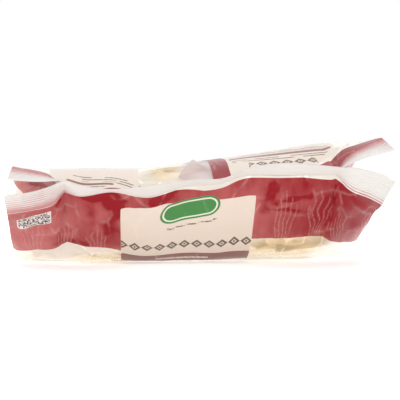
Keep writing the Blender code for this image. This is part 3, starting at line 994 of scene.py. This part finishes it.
def crimpedSeal(put, fromRoot, streaks, inkReach):
    # white where it is pressed, with red ink left as lines between the ribs beside its root, and a tint of it
    # where the ink reaches far
    between = put("Math PINGPONG", [fromRoot, bag["ribPitch"] / 2])
    between = put("MapRange", [between, 0.32, 0.52])
    inkLeft = put("Math DIVIDE", [fromRoot, inkReach])
    inkLeft = put("Math MULTIPLY_ADD", [streaks, 1.2, inkLeft])
    inkLeft = put("MapRange", [inkLeft, 0.6, 1.6, 1.0, 0.0])
    ink = put("Math MULTIPLY", [between, inkLeft])
    tint = put("MapRange", [inkReach, 4.0, 12.0, 0.0, 0.75])
    tintReach = put("Math MULTIPLY", [streaks, 10.0])
    tintLeft = put("Math DIVIDE", [fromRoot, tintReach])
    tintLeft = put("MapRange", [tintLeft, 0.3, 1.2, 1.0, 0.0])
    tint = put("Math MULTIPLY", [tint, tintLeft])
    ink = put("Math MAXIMUM", [ink, tint])
    return put("Mix", {0: ink, 6: filmInks["crimp"], 7: filmInks["crimpInk"]}, 2, data_type="RGBA")


def filmMaterial(shapeNames):
    look, inks = filmLook, filmInks
    plain = {"Roughness": look["roughness"], "IOR": look["ior"], "Specular IOR Level": look["specular"]}
    material, sockets, put = newMaterial("printedPolypropyleneFilm", plain)
    place = put("UVMap", {}, uv_map="filmPlace")
    u = put("SeparateXYZ", [place])
    shapes = {name: put("Attribute", {}, "Fac", attribute_name=name) for name in shapeNames}
    edge = look["edgeWidth"]
    printedShapes = ("redPrint", "beigePrint", "textPrint", "rules", "slogan", "strip", "badge", "codePanel")
    masks = {name: put("MapRange", [shapes[name], -edge, edge]) for name in printedShapes}

    red, streaks = redInk(put, place, shapes)
    text = put("Math MULTIPLY", [smallPrint(put, u, shapes), masks["textPrint"]])
    heading = put("Math MULTIPLY", [headlineMarks(put, u, shapes), masks["beigePrint"]])
    letters = put("TexNoise", {"Vector": place, "Scale": 1 / look["letterSize"], "Detail": 1.0})
    letters = put("MapRange", [letters, 0.38, 0.46])
    slogan = put("Math MULTIPLY", [letters, masks["slogan"]])
    middle, half, depth = look["subtitle"]
    inStrip = put("MapRange", [shapes["strip"], depth - 0.1, depth + 0.1])
    subtitle = put("Math MULTIPLY", [letters, inStrip])
    fromMiddle = put("Math SUBTRACT", [u, middle])
    fromMiddle = put("Math ABSOLUTE", [fromMiddle])
    fromMiddle = put("MapRange", [fromMiddle, half - 0.5, half, 1.0, 0.0])
    subtitle = put("Math MULTIPLY", [subtitle, fromMiddle])
    badgeRim = put("Math COMPARE", [shapes["badge"], *look["badgeRim"]])
    # painted highlights along creases: a pale colour over the ink, and more haze in the opacity
    crinkleHighlight = crinkleHighlights(put, place)
    sheen = put("Math MULTIPLY", [crinkleHighlight, look["crinkleSheen"]])
    fromRoot = put("Math MULTIPLY", [shapes["fromSeal"], -1])
    crimp = put("MapRange", [fromRoot, 0.0, 0.5])
    seam = put("MapRange", [shapes["seam"], -0.1, 0.1])
    stain = put("MapRange", [streaks, 0.42, 0.7, 0.0, 0.5])
    stained = put("Mix", {0: stain, 6: inks["seam"], 7: inks["paleRed"]}, 2, data_type="RGBA")
    # painted light: where the haze is thin the film takes the colour of brightly lit pasta behind it
    litPastaShare = put("MapRange", [shapes["haze"], 0.78, 0.3, 0.0, 1.0])
    colour = inks["clear"]
    for mask, ink in (
        (litPastaShare, inks["litPastaTint"]),
        (masks["redPrint"], red),
        (masks["beigePrint"], inks["beige"]),
        (text, inks["text"]),
        (heading, inks["text"]),
        (slogan, inks["text"]),
        (masks["rules"], inks["brown"]),
        (masks["strip"], inks["brown"]),
        (subtitle, inks["beige"]),
        (masks["badge"], inks["green"]),
        (badgeRim, inks["cream"]),
        (masks["codePanel"], inks["white"]),
        (randomChecks(put, place, shapes), inks["dark"]),
        (sheen, inks["sheen"]),
        (crimp, crimpedSeal(put, fromRoot, streaks, shapes["sealInk"])),
        (seam, stained),
    ):
        colour = put("Mix", {0: mask, 6: colour, 7: ink}, 2, data_type="RGBA")

    inked = masks["redPrint"]
    for name in ("beigePrint", "strip", "badge", "codePanel"):
        inked = put("Math MAXIMUM", [inked, masks[name]])
    haze = {"Vector": place, "Scale": 1 / look["hazeSize"], "Detail": 4.0, "Roughness": 0.6}
    haze = put("TexNoise", haze)
    haze = put("Math MULTIPLY_ADD", [haze, look["hazeChange"], shapes["haze"]])
    haze = put("MapRange", [haze, 0.35, 1.25, 0.08, 0.95])
    opacity = put("Math MULTIPLY_ADD", [crinkleHighlight, look["crinkleHaze"], haze], use_clamp=True)
    for mask, value in ((inked, "printOpacity"), (crimp, "crimpOpacity"), (seam, "seamOpacity")):
        opacity = put("Mix", {0: mask, 2: opacity, 3: look[value]})
    material.node_tree.links.new(colour, sockets["Base Color"])
    material.node_tree.links.new(opacity, sockets["Alpha"])
    return material


film, filmCentre, innerSkin = makeFilm()
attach(film, "root")
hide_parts("pasta_bag")
print("film bag made:", len(film.data.polygons), "faces")


def smoothNoise(count, period, random):
    # a smooth random line from -1 to 1, with a new value every period steps
    knots = random.uniform(-1, 1, int(count / period) + 2)
    at = np.arange(count) / period
    i = at.astype(int)
    t = smoothStep(at - i, 0, 1)
    return knots[i] * (1 - t) + knots[i + 1] * t


def nestRibbon(random):
    # one nest around the origin, 2 high: the ribbon's corners along its length
    turn = nests["stepsPerTurn"]
    steps = nests["turns"] * turn
    angle = np.arange(steps) / turn * 2 * np.pi + random.uniform(0, 2 * np.pi)
    step, change, swing = nests["wind"]
    wrap = np.cumsum(step + change * smoothNoise(steps, 0.8 * turn, random))
    wrap += swing * smoothNoise(steps, 0.5 * turn, random)
    fill, change = nests["fill"]
    depth = fill + change * smoothNoise(steps, 1.1 * turn, random)
    inOut = np.sign(np.cos(wrap)) * np.abs(np.cos(wrap)) ** nests["fullness"]
    upDown = np.sign(np.sin(wrap)) * np.abs(np.sin(wrap)) ** nests["fullness"]
    radius = nests["ringRadius"] + nests["ringReach"] * depth * inOut
    radius += nests["waver"][0] * smoothNoise(steps, 5, random)
    power = nests["squareness"]
    corner = (np.abs(np.cos(angle)) ** power + np.abs(np.sin(angle)) ** power) ** (-1 / power)
    half = np.array([*nests["size"], nests["halfHeight"]])
    line = np.column_stack([radius * corner * np.cos(angle), radius * corner * np.sin(angle), depth * upDown])
    stray = nests["stray"] * (1 - radius)
    line[:, 0] += stray * smoothNoise(steps, 0.7 * turn, random)
    line[:, 1] += stray * smoothNoise(steps, 0.7 * turn, random)
    line *= half
    line[:, 2] += nests["waver"][1] * smoothNoise(steps, 5, random)
    along = np.gradient(line, axis=0)
    along /= np.linalg.norm(along, axis=1)[:, None]
    outward = np.column_stack([np.cos(angle), np.sin(angle), np.zeros(steps)])
    lie = wrap + nests["roll"] * smoothNoise(steps, 9, random)
    flat = outward * -np.sin(lie)[:, None] + np.array([0, 0, 1]) * np.cos(lie)[:, None]
    flat -= along * np.sum(flat * along, axis=1)[:, None]
    flat /= np.linalg.norm(flat, axis=1)[:, None]
    over = np.cross(along, flat)
    width, thick = nests["ribbon"]
    section = [(-0.5, -0.5), (0.5, -0.5), (0.5, 0.5), (-0.5, 0.5)]
    return np.stack([line + flat * a * width + over * b * thick for a, b in section], axis=1)


def filmHeights(points):
    # at each point, read on a 1 mm grid: the lowest film, the next over it, the highest and the next below
    start = np.floor(points[:, :2].min(axis=0))
    size = np.ceil(points[:, :2].max(axis=0) - start).astype(int) + 1
    heights = np.full((*size, 4), nests["outside"])
    for i, j in np.ndindex(*size):
        x, y = start + (i, j)
        for k, way in enumerate((1, -1)):
            hit = innerSkin.ray_cast(Vector((x, y, -way * nests["gridReach"])), Vector((0, 0, way)))[0]
            if hit:
                heights[i, j, 2 * k] = hit.z
                beyond = innerSkin.ray_cast(hit + Vector((0, 0, way * 0.5)), Vector((0, 0, way)))[0]
                heights[i, j, 2 * k + 1] = beyond.z if beyond else hit.z
    i, j = (np.rint(points[:, :2] - start)).astype(int).T
    return heights[i, j].T


def keepInside(points):
    # moves points that lie outside the film, or too close to it, back inside
    kept = points.copy()
    for i, point in enumerate(points):
        place, normal, _, _ = innerSkin.find_nearest(Vector(point))
        inside = (place - Vector(point)).dot(normal)
        if inside < nests["filmGap"]:
            kept[i] = place - normal * nests["filmGap"]
    return kept


def makeNests():
    random = np.random.default_rng(nests["seed"])
    bodies, layers = [], []
    for layer in (0, 1):
        for row in range(nests["rows"]):
            for column in nests["columns"]:
                body = nestRibbon(random)
                middle = np.array([column, nests["firstRow"] + row * nests["pitch"][1]]) - filmCentre
                body[:, :, :2] += middle + random.uniform(-1, 1, 2) * nests["offPlace"]
                bodies.append(body)
                layers.append(layer)
    count = bodies[0].shape[0]
    quads = [[4 * k + i, 4 * k + (i + 1) % 4, 4 * k + 4 + (i + 1) % 4, 4 * k + 4 + i]
             for k in range(count - 1) for i in range(4)]
    quads += [[3, 2, 1, 0], [4 * count - 4 + i for i in range(4)]]
    faces = [[4 * count * n + i for i in quad] for n in range(len(bodies)) for quad in quads]
    points = np.vstack([body.reshape(-1, 3) for body in bodies])
    isUpper = np.repeat(layers, 4 * count)
    # drawn inside the bag's outline at the height of its layer, then spread from film to film
    drawn = keepInside(np.column_stack([points[:, :2], np.where(isUpper, *nests["layerHeights"])]))
    points[:, :2] = drawn[:, :2]
    low, lowCeiling, high, highFloor = filmHeights(points)
    gap = nests["filmGap"]
    low, high = low + gap, high - gap
    middle = (low + high) / 2
    bottom = np.where(isUpper, np.maximum(middle - nests["overlap"], highFloor + gap), low)
    top = np.where(isUpper, high, np.minimum(middle + nests["overlap"], lowCeiling - gap))
    share = points[:, 2] / (nests["halfHeight"] + nests["ribbon"][0] / 2)
    points[:, 2] = (bottom + top) / 2 + share * np.maximum(top - bottom, 0) / 2
    points = keepInside(points)
    mesh = bpy.data.meshes.new("pastaNests")
    mesh.from_pydata((points * mm).tolist(), [], faces)
    shadeMesh(mesh, nests["sharpAngle"], pastaMaterial())
    return addObject("pastaNests", mesh)


# Dried egg pasta, rolled and cut: matt and slightly rough, pale straw where it is floury, more golden inside
pastaLook = {
    "pale": "#f6e2b6",
    "golden": "#eaca8e",
    "patchSize": 9.0,
    "roughness": 0.68,
    "grainSize": 0.7,
    "grainHeight": 0.08,
}


def pastaMaterial():
    look = pastaLook
    material, sockets, put = newMaterial("driedEggPasta", {"Roughness": look["roughness"]})
    place = put("TexCoord", {}, "Object")
    patch = put("TexNoise", {"Vector": place, "Scale": 1 / (look["patchSize"] * mm), "Detail": 4.0})
    patch = put("MapRange", [patch, 0.35, 0.65])
    colour = put("Mix", {0: patch, 6: linear(look["golden"]), 7: linear(look["pale"])}, 2, data_type="RGBA")
    grain = put("TexNoise", {"Vector": place, "Scale": 1 / (look["grainSize"] * mm), "Detail": 2.0})
    bump = put("Bump", {"Height": grain, "Distance": look["grainHeight"] * mm, "Strength": 1.0})
    material.node_tree.links.new(colour, sockets["Base Color"])
    material.node_tree.links.new(bump, sockets["Normal"])
    return material


pasta = makeNests()
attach(pasta, "root")
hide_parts("pasta_bag")
print("nests made:", len(pasta.data.polygons), "faces")


# Stage
stage = {
    "floorSize": 3.0,
    "floorColour": "#f4f3f1",
    "floorRoughness": 0.9,
    "glowColour": "#ffffff",
    "floorGlow": 0.46,  # lit from below, as a light table is
    "cameraAzimuth": -6.0,
    "cameraElevation": 2.5,
    "cameraDistance": 650.0,
    "target": (1.11, -113.04, 34.0),
    "halfWidth": 98.5,
    # place, width and height, watts
    "softboxes": [((-0.25, -1.3, 0.14), (1.5, 0.5), 2.0), ((0.1, 0.4, 1.3), (0.9, 0.5), 6.5)],
    "skyStrength": 1.0,
}


def makeStage():
    bpy.ops.mesh.primitive_plane_add(size=stage["floorSize"])
    floor = bpy.context.object
    floor.name = "paleFloor"
    # matt white paper, so that shadows on it stay soft and pale
    material, _, _ = newMaterial("whitePaper", {
        "Base Color": linear(stage["floorColour"]),
        "Roughness": stage["floorRoughness"],
        "Emission Color": linear(stage["glowColour"]),
        "Emission Strength": stage["floorGlow"],
    })
    floor.data.materials.append(material)


def makeCamera():
    azimuth, elevation = math.radians(stage["cameraAzimuth"]), math.radians(stage["cameraElevation"])
    level = math.cos(elevation)
    away = Vector((math.sin(azimuth) * level, -math.cos(azimuth) * level, math.sin(elevation)))
    target = Vector(stage["target"]) * mm
    data = bpy.data.cameras.new("camera")
    camera = addObject("camera", data)
    camera.location = target + away * stage["cameraDistance"] * mm
    camera.rotation_euler = away.to_track_quat("Z", "Y").to_euler()
    data.angle = 2 * math.atan(stage["halfWidth"] / stage["cameraDistance"])
    data.sensor_fit = "HORIZONTAL"
    bpy.context.scene.camera = camera


def makeLight():
    world = bpy.data.worlds.new("whiteStudio")
    world.use_nodes = True
    background = world.node_tree.nodes["Background"].inputs
    background["Color"].default_value = (1, 1, 1, 1)
    background["Strength"].default_value = stage["skyStrength"]
    bpy.context.scene.world = world
    bpy.context.scene.view_settings.view_transform = "Standard"
    for place, size, power in stage["softboxes"]:
        data = bpy.data.lights.new("softbox", "AREA")
        data.shape = "RECTANGLE"
        data.size, data.size_y = size
        data.energy = power
        lamp = addObject("softbox", data)
        lamp.location = place
        away = Vector(place) - Vector(stage["target"]) * mm
        lamp.rotation_euler = away.to_track_quat("Z", "Y").to_euler()


makeStage()
makeCamera()
makeLight()
